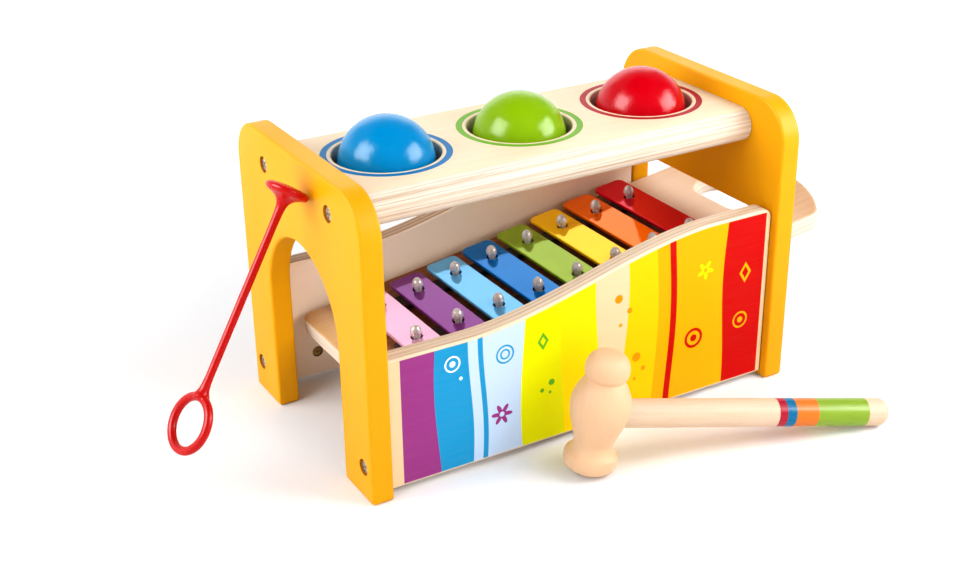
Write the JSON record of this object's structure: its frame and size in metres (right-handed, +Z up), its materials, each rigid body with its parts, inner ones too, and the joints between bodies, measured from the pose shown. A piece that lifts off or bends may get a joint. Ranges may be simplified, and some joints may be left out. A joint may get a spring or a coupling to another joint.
{
  "type": "pounding xylophone bench",
  "caption": "Wooden toddler pounding bench: balls are hammered through a top board onto a sloping slide-out xylophone and roll out of an arched end; with hammer and ring-handled beater.",
  "frame": {"origin": "on the floor, at the centre of the box around the bench with its hammer and beater", "axes": "+X along the bench from the arched end to the end the xylophone slides out of, +Y from the printed front panel to the back panel, +Z up"},
  "size_m": [0.3602, 0.2008, 0.1539],
  "materials": {
    "yellow_paint": "satin paint on fibreboard or plywood",
    "birch_ply": "clear satin lacquer on plywood",
    "beech": "clear satin lacquer",
    "steel": "zinc plated",
    "grip_rubber": "matte",
    "cushion": "matte foam strip",
    "pearl_plastic": "pearl grey",
    "red_plastic": "glossy",
    "ball_blue": "gloss lacquer",
    "ball_green": "gloss lacquer",
    "ball_red": "gloss lacquer",
    "bar_pink": "gloss enamel",
    "bar_purple": "gloss enamel",
    "bar_sky": "gloss enamel",
    "bar_blue": "gloss enamel",
    "bar_green": "gloss enamel",
    "bar_yellow": "gloss enamel",
    "bar_orange": "gloss enamel",
    "bar_red": "gloss enamel"
  },
  "bodies": {
    "bench": {"end_panel_left": "yellow_paint", "end_panel_right": "yellow_paint", "top_board": "birch_ply", "front_panel": "birch_ply", "back_panel": "birch_ply", "screw_top_left_front": "steel", "screw_top_left_back": "steel", "screw_top_right_front": "steel", "screw_top_right_back": "steel", "screw_low_left_front": "steel", "screw_low_left_back": "steel", "screw_low_right_front": "steel", "screw_low_right_back": "steel", "barrel_nut_left_front": "steel", "barrel_nut_left_back": "steel", "barrel_nut_right_front": "steel", "barrel_nut_right_back": "steel", "dowel_left_front": "beech", "dowel_left_back": "beech", "dowel_right_front": "beech", "dowel_right_back": "beech", "rest_strip_front": "beech", "rest_strip_back": "beech", "grip_ring_blue": "grip_rubber", "grip_ring_green": "grip_rubber", "grip_ring_red": "grip_rubber"},
    "blue_ball": {"ball_blue": "ball_blue"},
    "green_ball": {"ball_green": "ball_green"},
    "red_ball": {"ball_red": "ball_red"},
    "xylophone": {"xylophone_board": "birch_ply", "cushion_front": "cushion", "cushion_back": "cushion", "bar_pink": "bar_pink", "bar_purple": "bar_purple", "bar_sky": "bar_sky", "bar_blue": "bar_blue", "bar_green": "bar_green", "bar_yellow": "bar_yellow", "bar_orange": "bar_orange", "bar_red": "bar_red", "pin_pink_front": "pearl_plastic", "pin_pink_back": "pearl_plastic", "pin_purple_front": "pearl_plastic", "pin_purple_back": "pearl_plastic", "pin_sky_front": "pearl_plastic", "pin_sky_back": "pearl_plastic", "pin_blue_front": "pearl_plastic", "pin_blue_back": "pearl_plastic", "pin_green_front": "pearl_plastic", "pin_green_back": "pearl_plastic", "pin_yellow_front": "pearl_plastic", "pin_yellow_back": "pearl_plastic", "pin_orange_front": "pearl_plastic", "pin_orange_back": "pearl_plastic", "pin_red_front": "pearl_plastic", "pin_red_back": "pearl_plastic"},
    "hammer": {"hammer_head": "beech", "hammer_handle": "beech"},
    "beater": {"beater": "red_plastic"}
  },
  "joints": [
    {"name": "blue_ball_drop", "type": "slide", "parent": "bench", "child": "blue_ball", "axis": [0, 0, -1], "range_m": [-0.04, 0.057], "deforming": ["grip_ring_blue"]},
    {"name": "green_ball_drop", "type": "slide", "parent": "bench", "child": "green_ball", "axis": [0, 0, -1], "range_m": [-0.04, 0.0453], "deforming": ["grip_ring_green"]},
    {"name": "red_ball_drop", "type": "slide", "parent": "bench", "child": "red_ball", "axis": [0, 0, -1], "range_m": [-0.04, 0.0353], "deforming": ["grip_ring_red"]},
    {"name": "xylophone_slide", "type": "slide", "parent": "bench", "child": "xylophone", "axis": [0.9895, 0, 0.1444], "range_m": [-0.0072, 0.2]},
    {"name": "hammer_lift", "type": "slide", "parent": "bench", "child": "hammer", "axis": [0, 0, 1], "range_m": [0, 0.1]},
    {"name": "beater_lift", "type": "slide", "parent": "bench", "child": "beater", "axis": [0, 0, 1], "range_m": [-0.034, 0.1]}
  ]
}
